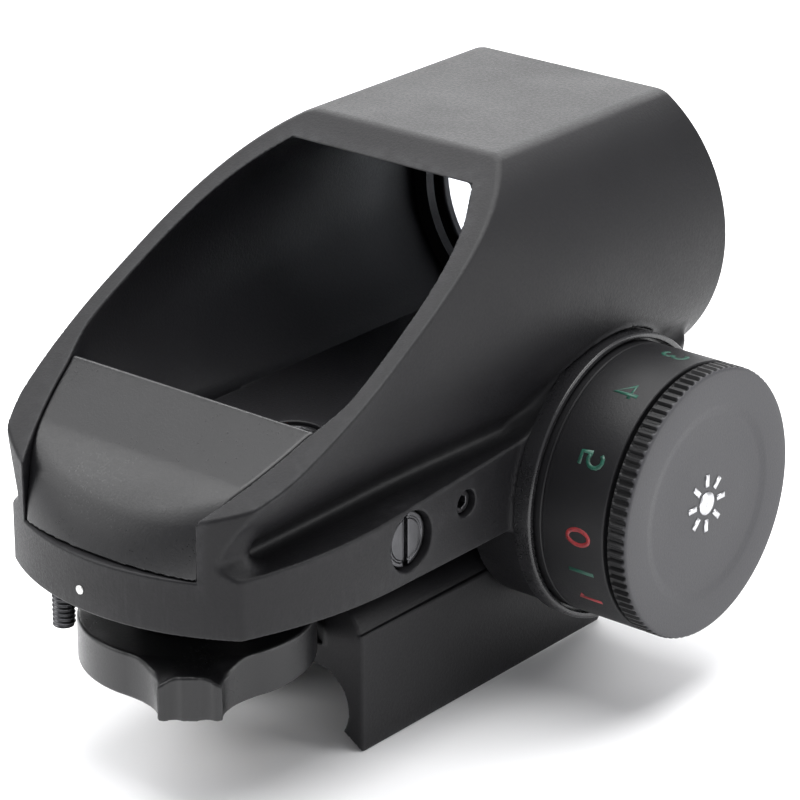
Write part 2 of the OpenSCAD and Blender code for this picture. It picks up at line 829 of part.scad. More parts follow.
housing();
front_lens();
lens_ring();
rear_cover();
cover_screws();
emitter_window();
index_dots();
mount_base();
mount_screws();
clamp_jaw();
clamp_screw_front();
clamp_screw_rear();
windage_screw();
windage_lock();
windage_plunger();
windage_frame();
frame_pin();
windage_spring();
elevation_screw();
elevation_lock();
elevation_plunger();
elevation_spring();
emitter_tray();
tray_pin();
led_bracket();
led();
led_leads();
reticle_drum();
selector_dial();
dial_shaft();
dial_clip();
dial_ball();
dial_ball_spring();
stop_screw();
knob_collar();
switch_board();
knob_ball();
knob_ball_spring();
brightness_drum();
drum_clip();
contact_wiper();
battery_contact();
battery();
cap_oring();
battery_cap();
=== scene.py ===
import json
import math

import bpy
import numpy as np
from mathutils import Matrix, Vector


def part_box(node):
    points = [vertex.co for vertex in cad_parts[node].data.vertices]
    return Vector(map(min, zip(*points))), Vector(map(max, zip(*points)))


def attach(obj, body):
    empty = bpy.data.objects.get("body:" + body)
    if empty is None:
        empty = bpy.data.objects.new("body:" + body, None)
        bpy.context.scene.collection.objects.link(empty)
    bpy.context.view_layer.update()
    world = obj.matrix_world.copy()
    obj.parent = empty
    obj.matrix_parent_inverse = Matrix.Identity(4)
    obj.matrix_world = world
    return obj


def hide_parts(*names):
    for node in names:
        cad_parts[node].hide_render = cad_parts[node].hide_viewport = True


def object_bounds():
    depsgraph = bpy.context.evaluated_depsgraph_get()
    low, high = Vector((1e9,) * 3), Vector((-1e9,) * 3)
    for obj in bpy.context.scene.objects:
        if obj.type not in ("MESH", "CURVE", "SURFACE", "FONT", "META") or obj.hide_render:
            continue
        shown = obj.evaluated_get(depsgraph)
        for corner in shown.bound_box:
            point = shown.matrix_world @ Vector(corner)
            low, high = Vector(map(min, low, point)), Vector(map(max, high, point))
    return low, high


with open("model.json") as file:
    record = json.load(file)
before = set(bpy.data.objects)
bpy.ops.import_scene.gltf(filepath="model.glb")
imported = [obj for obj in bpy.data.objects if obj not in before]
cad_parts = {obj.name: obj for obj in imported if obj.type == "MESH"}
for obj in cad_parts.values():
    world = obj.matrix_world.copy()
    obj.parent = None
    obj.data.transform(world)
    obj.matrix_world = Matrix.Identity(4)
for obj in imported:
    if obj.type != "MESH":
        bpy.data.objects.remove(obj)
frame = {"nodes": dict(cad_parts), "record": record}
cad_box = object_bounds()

# Lengths are millimetres, which MM turns into Blender's metres; lamps and the floor are placed in metres.
MM = 0.001
FAR = 90.0


def node_box(node):
    """Lowest and highest corner of a CAD node, in millimetres."""
    low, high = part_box(node)
    return np.array(low) / MM, np.array(high) / MM


# ---------------------------------------------------------------- sizes taken from the frame
BODY_HIGH = node_box("housing")[1]
CLAMP_LOW, CLAMP_HIGH = node_box("mount_base")
JAW_LOW, JAW_HIGH = node_box("clamp_jaw")
CAP_LOW, CAP_HIGH = node_box("battery_cap")
DRUM_LOW, DRUM_HIGH = node_box("brightness_drum")
COLLAR_LOW, COLLAR_HIGH = node_box("knob_collar")
RING_LOW, RING_HIGH = node_box("cap_oring")
DIAL_LOW = node_box("selector_dial")[0]
SHAFT_LOW, SHAFT_HIGH = node_box("dial_shaft")
WINDAGE_LOW, WINDAGE_HIGH = node_box("windage_screw")
ELEVATION_LOW, ELEVATION_HIGH = node_box("elevation_screw")
WINDAGE_LOCK_LOW, WINDAGE_LOCK_HIGH = node_box("windage_lock")
ELEVATION_LOCK_LOW, ELEVATION_LOCK_HIGH = node_box("elevation_lock")
STOP_LOW, STOP_HIGH = node_box("stop_screw")
WINDOW_LOW, WINDOW_HIGH = node_box("emitter_window")

# Hood: a section of two side arcs under a flat top, cut by the sloping rear opening
HOOD_TOP = BODY_HIGH[2]
HOOD_FRONT = BODY_HIGH[1]
HOOD_HALF = BODY_HIGH[0]
ARC_R = 17.0
ARC_X = HOOD_HALF - ARC_R
ARC_Z = HOOD_TOP - 14.7
WALL = 2.2
FLOOR_Z = 22.0
RIM_Y = 1.8
RIM_SLOPE = math.radians(29.1)
LIP_Y = HOOD_FRONT - 1.0

# Base: plan arcs and the rising top of its side band
BASE_BOTTOM = 12.7
BASE_HALF = HOOD_HALF - 1.7
SIDE_R = 44.0
SIDE_Y = -22.0
REAR_R = 26.8
REAR_Y = -18.0
CORNER_Y = -40.2
BAND_TOP = BASE_BOTTOM + 6.2
BAND_TILT = math.radians(4.5)
BASE_FRONT = 26.0
NECK_INSET, NECK_HALF, NECK_TOP = 1.3, 14.2, 25
NECK_END_Y = -37.5
WELL_X = 11.4
MOUNT_SCREW_Y = 7

# Rear cover and the room for it
COVER_HALF = 11.8
COVER_INSET = 2.4
COVER_FRONT = -22.0
DECK_Y = -30.4
COVER_SCREW = (9.2, -36.2)
COVER_DROP = 0.15
COVER_WALL = 1.3
SEAM_Z = 18.5
CREST_Y, CREST_Z = -40.2, 25.9
LEAN = math.radians(56)

# Knob: everything in it turns about one axis along X
KNOB_Y, KNOB_Z = (CAP_LOW[1] + CAP_HIGH[1]) / 2, (CAP_LOW[2] + CAP_HIGH[2]) / 2
COLLAR_R = (COLLAR_HIGH[2] - COLLAR_LOW[2]) / 2
DRUM_R = (DRUM_HIGH[2] - DRUM_LOW[2]) / 2
CAP_R = (CAP_HIGH[2] - CAP_LOW[2]) / 2
CAP_X0, CAP_X1 = RING_HIGH[0], CAP_HIGH[0]
DRUM_X0, DRUM_X1 = COLLAR_HIGH[0] + 0.2, RING_LOW[0]
PAD_X = COLLAR_LOW[0]
BOSS_R = 14.5
SPINDLE_R = 4.15
KNOB_BALL_OFF = 7.6
BOSS_X = CLAMP_HIGH[0] + 0.4

# Reticle dial
DIAL_Y = (SHAFT_LOW[1] + SHAFT_HIGH[1]) / 2
DIAL_BOTTOM, DIAL_TOP = DIAL_LOW[2], 8.13
DIAL_R = 11.8
DETENT_R = 4.4
LUG_ANGLE = math.radians(-50.5)
LUG_HALF = 3.1
LUG_REACH = 15.3
LUG_FILLET = 3.4

# Places of the screws across their own axes
WINDAGE_C = ((WINDAGE_LOW[1] + WINDAGE_HIGH[1]) / 2, (WINDAGE_LOW[2] + WINDAGE_HIGH[2]) / 2)
WINDAGE_LOCK_C = ((WINDAGE_LOCK_LOW[1] + WINDAGE_LOCK_HIGH[1]) / 2,
                  (WINDAGE_LOCK_LOW[2] + WINDAGE_LOCK_HIGH[2]) / 2)
ELEVATION_C = ((ELEVATION_LOW[0] + ELEVATION_HIGH[0]) / 2, (ELEVATION_LOW[1] + ELEVATION_HIGH[1]) / 2)
ELEVATION_LOCK_C = ((ELEVATION_LOCK_LOW[0] + ELEVATION_LOCK_HIGH[0]) / 2,
                    (ELEVATION_LOCK_LOW[1] + ELEVATION_LOCK_HIGH[1]) / 2)
STOP_C = ((STOP_LOW[0] + STOP_HIGH[0]) / 2, (STOP_LOW[1] + STOP_HIGH[1]) / 2)
BOLT_LOW, BOLT_HIGH = node_box("clamp_screw_front")
BOLT_Y = (BOLT_LOW[1] + BOLT_HIGH[1]) / 2
BOLT_Z = (BOLT_LOW[2] + BOLT_HIGH[2]) / 2


# ---------------------------------------------------------------- signed distance helpers
def blend_and(a, b, r):
    """Intersection of two solids whose common edge is rounded to radius r."""
    return np.minimum(np.maximum(a, b), -r) + np.hypot(np.maximum(a + r, 0), np.maximum(b + r, 0))


def blend_or(a, b, r):
    """Union of two solids whose inner corner is filled to radius r."""
    return np.maximum(np.minimum(a, b), r) - np.hypot(np.maximum(r - a, 0), np.maximum(r - b, 0))


def cut(a, b, r=0.0):
    """Solid a with solid b taken away; the new edge is rounded to radius r."""
    return blend_and(a, -b, r) if r > 0 else np.maximum(a, -b)


def slab(v, low, high):
    return np.abs(v - (low + high) / 2) - (high - low) / 2


def block(p, x0, x1, y0, y1, z0, z1):
    return np.maximum(np.maximum(slab(p[0], x0, x1), slab(p[1], y0, y1)), slab(p[2], z0, z1))


def rod(p, axis, low, high, centre, r):
    """Cylinder along one axis; centre is its place across the two other axes, in order."""
    u, v = [p[k] for k in range(3) if k != axis]
    return np.maximum(np.hypot(u - centre[0], v - centre[1]) - r, slab(p[axis], low, high))


def hexagon(u, v, across):
    """Distance to a hexagon of that width across its flats."""
    u, v = np.abs(u), np.abs(v)
    return np.maximum(v * math.sqrt(3) / 2 + u / 2, u) - across / 2


def smooth(t):
    t = np.clip(t, 0, 1)
    return t * t * (3 - 2 * t)


# ---------------------------------------------------------------- fields of the castings
def rim_z(y):
    return HOOD_TOP - (RIM_Y - y) * math.tan(RIM_SLOPE)


def plan_scale(y):
    """How much narrower the hood is at y than at its front."""
    return 1 - 0.08 * smooth((2 - y) / 24) - 0.05 * smooth((-35 - y) / 7)


def rear_face(p, inset=0.0):
    """Distance to the rounded rear face, level with which the base, hood and cover end."""
    radial = np.hypot(p[0], np.minimum(p[1] - REAR_Y, 0)) - REAR_R
    return radial + inset


def hood_section(p, inset):
    across = np.abs(p[0]) / plan_scale(p[1])
    return np.hypot(np.maximum(across - ARC_X, 0), p[2] - ARC_Z) - ARC_R + inset


def base_side(p):
    return np.hypot(np.abs(p[0]) + SIDE_R - BASE_HALF, np.minimum(p[1] - SIDE_Y, 0)) - SIDE_R


def base_field(p):
    side = base_side(p)
    plan = blend_and(side, p[1] - BASE_FRONT, 1.5)
    band = (p[2] - BAND_TOP - (p[1] - CORNER_Y) * math.tan(BAND_TILT)) * math.cos(BAND_TILT)
    return blend_and(plan, band, 0.3)


def cover_room(p, inset):
    """Sides of the room for the rear cover; inset moves them inwards."""
    across = np.abs(p[0])
    arcs = base_side(p) + COVER_INSET - 3.0 * smooth((p[1] + 32) / 12)
    section = blend_or(hood_section(p, WALL), across - COVER_HALF, 0.8)
    return blend_and(arcs, section, 0.8) + inset


def housing_field(p):
    x, y, z = p
    hood = blend_and(hood_section(p, 0), z - HOOD_TOP, 0.45)
    neck = np.maximum(blend_and(base_side(p) + NECK_INSET, np.abs(x) - NECK_HALF, 0.5), z - NECK_TOP)
    neck = blend_and(neck, y - NECK_END_Y, 1.5)
    body = blend_or(blend_or(hood, neck, 1.6), base_field(p), 2.2)
    body = blend_and(body, BASE_BOTTOM - z, 0.3)
    knob_r = np.hypot(y - KNOB_Y, z - KNOB_Z)
    boss = np.maximum(knob_r - BOSS_R, BOSS_X - x)
    body = blend_or(body, boss, 1.6)
    body = blend_and(body, y - HOOD_FRONT, 0.6)
    body = blend_and(body, rear_face(p), 0.3)
    rim = (z - rim_z(y)) * math.cos(RIM_SLOPE)
    body = blend_and(body, rim, 0.3)
    body = cut(body, np.maximum(knob_r - COLLAR_R - 0.15, PAD_X - x), 0.15)
    room = blend_and(cover_room(p, 0), z - HOOD_TOP + WALL, 0.8)
    floor = np.where(y < COVER_FRONT, SEAM_Z, FLOOR_Z)
    body = cut(body, np.maximum(np.maximum(room, floor - z), y - LIP_Y), 0.25)
    front = blend_and(hood_section(p, WALL + 2.4), z - HOOD_TOP + WALL + 2.4, 2.0)
    front = np.maximum(np.maximum(front, FLOOR_Z + 2.6 - z), HOOD_FRONT - 3 - y)
    body = cut(body, front, 0.2)
    return housing_cuts(p, body)


def housing_cuts(p, body):
    """Takes the emitter well, the cover's seat and every bore out of the casting."""
    x, y, z = p
    well = np.maximum(block(p, -WELL_X, WELL_X, -42, -22, BASE_BOTTOM + 1.5, FLOOR_Z + 1), rear_face(p, 2.3))
    body = cut(body, np.minimum(well, block(p, -WELL_X, WELL_X, -24, -13.5, BASE_BOTTOM + 1.5, 19.6)))
    wy, wz = WINDAGE_C
    body = cut(body, rod(p, 0, WINDAGE_LOW[0] + 6.6, FAR, (wy, wz), 3.1), 0.18)
    body = cut(body, rod(p, 0, 10, FAR, (wy, wz), 1.35))
    body = cut(body, rod(p, 0, 10, 14.6, (wy, wz), 2.1))
    body = cut(body, rod(p, 0, 14.2, FAR, WINDAGE_LOCK_C, 1.4), 0.15)
    body = cut(body, rod(p, 2, FLOOR_Z - 1.4, FLOOR_Z + 3, ELEVATION_C, 3.1), 0.15)
    body = cut(body, rod(p, 2, 18.6, FLOOR_Z, ELEVATION_C, 2.1))
    body = cut(body, rod(p, 2, FLOOR_Z - 2, FLOOR_Z + 3, ELEVATION_LOCK_C, 1.4), 0.1)
    body = cut(body, rod(p, 2, 0, BASE_BOTTOM + 3, (0, DIAL_Y), 2.5))
    body = cut(body, np.hypot(np.hypot(x, y - DIAL_Y) - DETENT_R, z - BASE_BOTTOM + 0.75) - 1.1)
    body = cut(body, rod(p, 2, 0, 14.9, STOP_C, 1.25))
    for s in (-1, 1):
        screw = (s * COVER_SCREW[0], COVER_SCREW[1])
        body = cut(body, rod(p, 2, 0, BAND_TOP, screw, 1.1))
        body = cut(body, rod(p, 2, 0, BASE_BOTTOM + 0.95, screw, 2.05), 0.1)
    for s in (-1, 1):
        body = cut(body, rod(p, 2, 0, BASE_BOTTOM + 4.8, (0, s * MOUNT_SCREW_Y), 1.6))
    body = cut(body, rod(p, 0, 10, 60, (KNOB_Y, KNOB_Z), SPINDLE_R))
    body = cut(body, rod(p, 0, 8, 13.2, (KNOB_Y, KNOB_Z), 6.5))
    return cut(body, rod(p, 0, 15.4, 60, (KNOB_Y, KNOB_Z + KNOB_BALL_OFF), 1.1))


def cover_field(p):
    """Pillow-shaped cover: a deck just under the rim, rolling over into the rear face."""
    y, z = p[1], p[2]
    gap = 0.1
    deck = (z - rim_z(y) + COVER_DROP) * math.cos(RIM_SLOPE)
    rise = HOOD_TOP - (RIM_Y - DECK_Y) * math.tan(RIM_SLOPE) - COVER_DROP - FLOOR_Z
    run = COVER_FRONT - DECK_Y
    front = ((y - DECK_Y) * rise + (z - FLOOR_Z - rise) * run) / math.hypot(rise, run)
    lean = (CREST_Y - y) * math.sin(LEAN) + (z - CREST_Z) * math.cos(LEAN)
    roll = blend_and(blend_and(deck, lean, 1.6), rear_face(p), 3.0)
    skin = blend_and(cover_room(p, gap), roll, 0.35)
    skin = blend_and(skin, front, 0.4)
    skin = np.maximum(skin, y - COVER_FRONT)
    body = blend_and(skin, SEAM_Z + gap - z, 0.15)
    body = cut(body, np.maximum(skin + COVER_WALL, 10 - z))
    pocket = block(p, WINDOW_LOW[0] - 0.05, WINDOW_HIGH[0] + 0.05, -33, -20, WINDOW_LOW[2], WINDOW_HIGH[2])
    return cut(body, pocket, 0.1)


def dial_field(p):
    """Selector dial: a disc with one fluted grip lug and a hub."""
    x, y, z = p
    u = x * math.cos(LUG_ANGLE) + (y - DIAL_Y) * math.sin(LUG_ANGLE)
    v = -x * math.sin(LUG_ANGLE) + (y - DIAL_Y) * math.cos(LUG_ANGLE)
    radial = np.hypot(x, y - DIAL_Y)
    lug = np.maximum(np.maximum(np.abs(v) - LUG_HALF, u - LUG_REACH), -u)
    outline = blend_or(radial - DIAL_R, lug, LUG_FILLET)
    for s in (-1, 1):
        outline = cut(outline, np.hypot(u - LUG_REACH - 0.75, v - s * LUG_HALF / 2) - 1.05, 0.15)
    fall = smooth((u - 10.5) / 4) * (v / LUG_HALF) ** 2
    disc = blend_and(outline, slab(z, DIAL_BOTTOM, DIAL_TOP - fall), 0.35)
    hub = np.maximum(radial - 6.4, slab(z, DIAL_TOP - 1, BASE_BOTTOM - 0.1))
    body = blend_or(disc, hub, 0.5)
    body = cut(body, rod(p, 2, DIAL_BOTTOM - 2, BASE_BOTTOM + 1, (0, DIAL_Y), 2.42), 0.15)
    ring = np.abs(radial - 7.6) - 0.35
    body = cut(body, np.maximum(ring, z - DIAL_BOTTOM - 0.3), 0.1)
    return cut(body, rod(p, 2, DIAL_TOP, BASE_BOTTOM + 1, (0, DIAL_Y + DETENT_R), 1.06))


def clamp_profile(x, z):
    """Distance to the section of one jaw with its half of the rail channel."""
    jaw_x, jaw_z = CLAMP_HIGH[0], CLAMP_LOW[2]
    neck = np.maximum(x - jaw_x + 3, z - BASE_BOTTOM)
    shoulder = blend_and(x - jaw_x + 0.2, z - jaw_z - 15.4, 3.0)
    jaw = np.minimum(shoulder, blend_and(x - jaw_x, z - jaw_z - 12.9, 0.2))
    solid = blend_or(neck, jaw, 0.3)
    groove_x, groove_r = 10.65, 4.1
    channel = np.hypot(x - groove_x + groove_r, z + groove_r) - groove_r
    channel = np.minimum(channel, np.maximum(x - groove_x + groove_r, slab(z, -groove_r - 0.5, 0)))
    channel = np.minimum(channel, np.maximum(x - groove_x, slab(z, -groove_r - 0.6, -groove_r)))
    hook_up = ((x - groove_x) * 1.6 - (z + groove_r + 0.5) * 0.98) / 1.876
    hook_down = ((x - 9.67) * -1.8 - (z + 6.2) * 2.83) / 3.354
    below = np.maximum(z + groove_r + 0.5, np.minimum(hook_up, -hook_down))
    return cut(solid, np.minimum(channel, below), 0.15)


def clamp_field(p):
    """Clamp base with the fixed right jaw, the recoil key and its bores."""
    x, y, z = p
    body = np.maximum(clamp_profile(x, z), CLAMP_LOW[0] - x)
    body = blend_and(body, slab(y, CLAMP_LOW[1], CLAMP_HIGH[1]), 0.35)
    body = cut(body, rod(p, 2, DIAL_BOTTOM - 0.8, FAR, (0, DIAL_Y), DIAL_R + 1), 0.2)
    for s in (-1, 1):
        body = cut(body, rod(p, 0, -20, 5.5, (s * BOLT_Y, BOLT_Z), 2.1), 0.1)
        body = cut(body, rod(p, 2, -10, FAR, (0, s * MOUNT_SCREW_Y), 1.6))
        body = cut(body, rod(p, 2, -10, 3, (0, s * MOUNT_SCREW_Y), 2.8), 0.15)
    key = block(p, CLAMP_LOW[0] + 0.4, 6.55, -2.2, 2.2, -2.4, 0.2)
    return np.minimum(body, key)


def jaw_field(p):
    """The moving left jaw."""
    x, y, z = p
    body = blend_and(clamp_profile(-x, z), x - JAW_HIGH[0], 0.2)
    body = blend_and(body, z - JAW_HIGH[2], 0.3)
    body = blend_and(body, slab(y, JAW_LOW[1], JAW_HIGH[1]), 0.35)
    for s in (-1, 1):
        body = cut(body, rod(p, 0, -20, 0, (s * BOLT_Y, BOLT_Z), 2.1), 0.1)
    return body


# ---------------------------------------------------------------- fields of the screws
def slotted_field(p, axis, low, high, centre, slot_along):
    """Adjuster with a coin-slotted head, a shallow ring groove in its face and a shank below it."""
    others = [k for k in range(3) if k != axis]
    u, v = p[others[0]] - centre[0], p[others[1]] - centre[1]
    a = p[axis]
    radial = np.hypot(u, v)
    head = blend_and(radial - 2.9, slab(a, high[axis] - 1.0, high[axis]), 0.18)
    shank = np.maximum(radial - 1.25, slab(a, low[axis], high[axis] - 0.5))
    body = np.minimum(head, shank)
    slot = u if slot_along == 1 else v
    body = cut(body, np.maximum(np.abs(slot) - 0.38, high[axis] - 0.6 - a), 0.08)
    groove = np.maximum(np.abs(radial - 2.25) - 0.12, high[axis] - 0.12 - a)
    return cut(body, groove, 0.04)


def socket_field(p, axis, low, high, centre, r, across, depth):
    """Round screw with a hexagonal socket in its upper end along the axis."""
    others = [k for k in range(3) if k != axis]
    u, v = p[others[0]] - centre[0], p[others[1]] - centre[1]
    a, top = p[axis], high[axis]
    body = blend_and(np.hypot(u, v) - r, slab(a, low[axis], top), 0.15)
    return cut(body, np.maximum(hexagon(u, v, across), top - depth - a), 0.06)


def bolt_field(p, low, high):
    """Clamp screw: a knurled socket head outside the jaw and its shank."""
    y0, z0 = (low[1] + high[1]) / 2, (low[2] + high[2]) / 2
    u, v = p[1] - y0, p[2] - z0
    radial = np.hypot(u, v)
    knurl = 0.06 * np.cos(36 * np.arctan2(v, u))
    head = blend_and(radial - 3.44 + knurl, slab(p[0], low[0], JAW_LOW[0]), 0.3)
    shank = np.maximum(radial - 2.0, slab(p[0], low[0] + 1, high[0]))
    body = np.minimum(head, shank)
    return cut(body, np.maximum(hexagon(u, v, 3.0), p[0] - low[0] - 1.8), 0.08)


def stop_field(p):
    """Stop screw beside the dial, with a helical ripple for its thread and a socket end."""
    u, v = p[0] - STOP_C[0], p[1] - STOP_C[1]
    thread = 0.09 * np.cos(p[2] * 2 * math.pi / 0.5 + np.arctan2(v, u))
    body = blend_and(np.hypot(u, v) - 1.06 + thread, slab(p[2], STOP_LOW[2], STOP_HIGH[2]), 0.15)
    return cut(body, np.maximum(hexagon(u, v, 1.0), p[2] - STOP_LOW[2] - 0.9), 0.05)


# ---------------------------------------------------------------- meshes from fields
def gradient(field, points, eps):
    g = np.empty_like(points)
    for k in range(3):
        step = np.zeros(3)
        step[k] = eps
        ahead, behind = points + step, points - step
        g[:, k] = (field(ahead.T) - field(behind.T)) / (2 * eps)
    return g


def project(field, points, step, rounds):
    """Moves points onto the field's surface along its gradient."""
    for _ in range(rounds):
        g = gradient(field, points, 0.02)
        f = field(points.T)
        move = (f / np.maximum((g * g).sum(1), 0.05))[:, None] * g
        size = np.maximum(np.linalg.norm(move, axis=1, keepdims=True), 1e-9)
        points = points - move * np.minimum(1, 0.5 * step / size)
    return points


def surface_net(field, low, high, step):
    """Corner points and four-sided faces of the field's zero surface."""
    axes = [np.arange(low[k] - 2 * step, high[k] + 2.5 * step, step) for k in range(3)]
    grid = np.meshgrid(*axes, indexing="ij", sparse=True)
    value = np.ascontiguousarray(np.broadcast_to(field(grid), [len(a) for a in axes]).astype(np.float32))
    inside = value < 0
    cells = [slice(0, -1), slice(1, None)]
    count = np.zeros([n - 1 for n in inside.shape], np.uint8)
    for i in range(8):
        count += inside[cells[i & 1], cells[i >> 1 & 1], cells[i >> 2 & 1]]
    where = np.argwhere((count > 0) & (count < 8))
    index = np.full(count.shape, -1, np.int64)
    index[tuple(where.T)] = np.arange(len(where))
    total, hits = np.zeros((len(where), 3)), np.zeros(len(where))
    corner = [np.array([i & 1, i >> 1 & 1, i >> 2 & 1]) for i in range(8)]
    level = [value[tuple((where + c).T)] for c in corner]
    for i in range(8):
        for k in range(3):
            j = i | (1 << k)
            if j == i:
                continue
            crossing = (level[i] < 0) != (level[j] < 0)
            t = np.where(crossing, level[i] / np.where(crossing, level[i] - level[j], 1), 0)
            place = corner[i] + t[:, None] * (corner[j] - corner[i])
            total += np.where(crossing[:, None], place, 0)
            hits += crossing
    start = np.array([a[0] for a in axes])
    points = start + (where + total / hits[:, None]) * step
    faces = []
    for k in range(3):
        u, w = (k + 1) % 3, (k + 2) % 3
        lower = [slice(1, -1)] * 3
        upper = [slice(1, -1)] * 3
        lower[k], upper[k] = slice(0, -1), slice(1, None)
        a, b = inside[tuple(lower)], inside[tuple(upper)]
        ijk = np.argwhere(a != b)
        outward = a[tuple(ijk.T)]
        ijk[:, u] += 1
        ijk[:, w] += 1
        du, dw = np.eye(3, dtype=int)[u], np.eye(3, dtype=int)[w]
        quad = [index[tuple(q.T)] for q in (ijk - du - dw, ijk - dw, ijk, ijk - du)]
        quad = np.stack(quad, 1)
        quad[~outward] = quad[~outward][:, ::-1]
        faces.append(quad)
    return points, np.concatenate(faces)


def new_object(name, mesh):
    piece = bpy.data.objects.new(name, mesh)
    bpy.context.scene.collection.objects.link(piece)
    return piece


def mesh_from(name, points, faces):
    """Mesh from millimetre points and faces that all have the same number of corners."""
    mesh = bpy.data.meshes.new(name)
    sides = faces.shape[1]
    mesh.vertices.add(len(points))
    mesh.vertices.foreach_set("co", (points * MM).astype(np.float32).ravel())
    mesh.loops.add(faces.size)
    mesh.loops.foreach_set("vertex_index", faces.astype(np.int32).ravel())
    mesh.polygons.add(len(faces))
    mesh.polygons.foreach_set("loop_start", np.arange(0, faces.size, sides, dtype=np.int32))
    mesh.update(calc_edges=True)
    mesh.validate()
    return mesh


def thinned(piece, share):
    """Applies a collapse decimation that keeps that share of the faces."""
    piece.modifiers.new("thin", "DECIMATE").ratio = share
    graph = bpy.context.evaluated_depsgraph_get()
    mesh = bpy.data.meshes.new_from_object(piece.evaluated_get(graph))
    old, piece.data = piece.data, mesh
    piece.modifiers.clear()
    bpy.data.meshes.remove(old)
    return mesh


def mesh_points(mesh):
    co = np.empty(len(mesh.vertices) * 3, np.float32)
    mesh.vertices.foreach_get("co", co)
    return co.reshape(-1, 3).astype(float) / MM


def wear_and_shade_attributes(field, mesh, points, normals):
    """Stores how near each point is to an outer edge, for edge wear, and to an inner corner, for painted
    corner shade.
    """
    reach = 0.6
    inner = field((points - normals * reach).T)
    outer = field((points + normals * reach).T)
    for name, value in (("edge", 1 + inner / reach), ("cavity", 1 - outer / reach)):
        attribute = mesh.attributes.new(name, "FLOAT", "POINT")
        attribute.data.foreach_set("value", np.clip(value, 0, 1).astype(np.float32))


def field_piece(name, field, low, high, step, share=1.0):
    """Piece whose surface is the field's, with normals, the edge-wear mask and the painted-shade corner mask
    taken from the field.
    """
    points, faces = surface_net(field, low, high, step)
    points = project(field, points, step, 3)
    piece = new_object(name, mesh_from(name, points, faces))
    if share < 1:
        mesh = thinned(piece, share)
        points = project(field, mesh_points(mesh), step, 2)
        mesh.vertices.foreach_set("co", (points * MM).astype(np.float32).ravel())
        mesh.update()
    mesh = piece.data
    g = gradient(field, points, 0.04)
    normals = g / np.maximum(np.linalg.norm(g, axis=1, keepdims=True), 1e-6)
    wear_and_shade_attributes(field, mesh, points, normals)
    mesh.shade_smooth()
    mesh.normals_split_custom_set_from_vertices(normals.astype(np.float32))
    return piece


# ---------------------------------------------------------------- turned pieces
def turned(name, profile, segments, ripple=None, sharp=35):
    """Piece turned about the knob's axis from a closed profile of (x, radius) points."""
    profile = np.array(profile, float)
    angles = np.arange(segments) * 2 * math.pi / segments
    x = np.repeat(profile[:, :1], segments, 1)
    r = np.repeat(profile[:, 1:2], segments, 1)
    if ripple is not None:
        r = r - ripple(x, r, angles[None, :])
    points = np.stack([x, KNOB_Y + r * np.cos(angles), KNOB_Z + r * np.sin(angles)], 2).reshape(-1, 3)
    rows = len(profile)
    i, j = np.meshgrid(np.arange(rows), np.arange(segments), indexing="ij")
    a, b = i * segments, (i + 1) % rows * segments
    faces = np.stack([a + j, a + (j + 1) % segments, b + (j + 1) % segments, b + j], 2).reshape(-1, 4)
    piece = new_object(name, mesh_from(name, points, faces))
    smooth_by_angle(piece.data, sharp)
    return piece


def smooth_by_angle(mesh, degrees):
    """Smooth shading with edges sharper than the angle kept crisp."""
    mesh.shade_smooth()
    mesh.set_sharp_from_angle(angle=math.radians(degrees))


def arc(cx, cy, r, a0, a1, n=5):
    """Points of an arc, angles in degrees."""
    return [(cx + r * math.cos(math.radians(a)), cy + r * math.sin(math.radians(a)))
            for a in np.linspace(a0, a1, n)]


def collar_piece():
    """Fixed collar: a thin raised lip round the drum."""
    x0, x1, r = PAD_X + 0.02, COLLAR_HIGH[0], COLLAR_R
    inner = DRUM_R + 0.28
    profile = [(x0, r - 0.6), (x0, r - 0.05)] + arc(x1 - 0.25, r - 0.25, 0.25, 90, 0)
    profile += arc(x1 - 0.15, inner + 0.15, 0.15, 0, -90) + [(x0 + 1.0, inner), (x0 + 1.0, 4.6), (x0, 4.6)]
    return turned("collar", profile, 180)


def drum_piece():
    """Brightness drum: its numbered band reaches back inside the collar's lip."""
    x0, x1, r = DRUM_X0 - 0.75, DRUM_X1, DRUM_R
    profile = [(x0, 4.5), (x0, r - 0.1), (x0 + 0.1, r)]
    profile += [(DRUM_X0 + 0.35, r), (DRUM_X0 + 0.45, r - 0.08)]
    profile += [(DRUM_X0 + 0.6, r - 0.08), (DRUM_X0 + 0.7, r)]
    profile += arc(x1 - 0.2, r - 0.2, 0.2, 90, 0) + [(x1, 12.35), (25.2, 12.35), (25.2, 4.5)]
    return turned("drum", profile, 180)


KNURLS = 90


def cap_piece():
    """Battery cap: knurled rim and a face with a shallow dish."""
    x0, x1, r = CAP_X0, CAP_X1, CAP_R

    def knurl(x, radius, angle):
        on_rim = smooth((radius - r + 0.5) / 0.4) * smooth((x1 - 0.1 - x) / 0.3)
        on_rim = on_rim * smooth((x - x0 - 0.05) / 0.1)
        wave = np.clip(1.6 * np.cos(KNURLS * angle), -1, 1)
        return 0.16 * on_rim * (1 - wave)

    profile = [(x0, 12.2), (x0, r - 0.15), (x0 + 0.15, r)]
    profile += [(x, r) for x in np.linspace(x0 + 0.3, x1 - 0.55, 4)]
    profile += arc(x1 - 0.45, r - 0.45, 0.45, 80, 0, 7)
    profile += [(x1, r - 1.0), (x1, 10.6), (x1 - 0.05, 10.2), (x1 - 0.16, 9.6), (x1 - 0.2, 9.2)]
    profile += [(x1 - 0.2, 6.0), (x1 - 0.2, 0.02), (x0 + 0.6, 0.02), (x0 + 0.6, 10.6)]
    profile += [(x0 - 2.6, 10.6), (x0 - 2.6, 12.2)]
    return turned("cap", profile, 8 * KNURLS, knurl, 40)


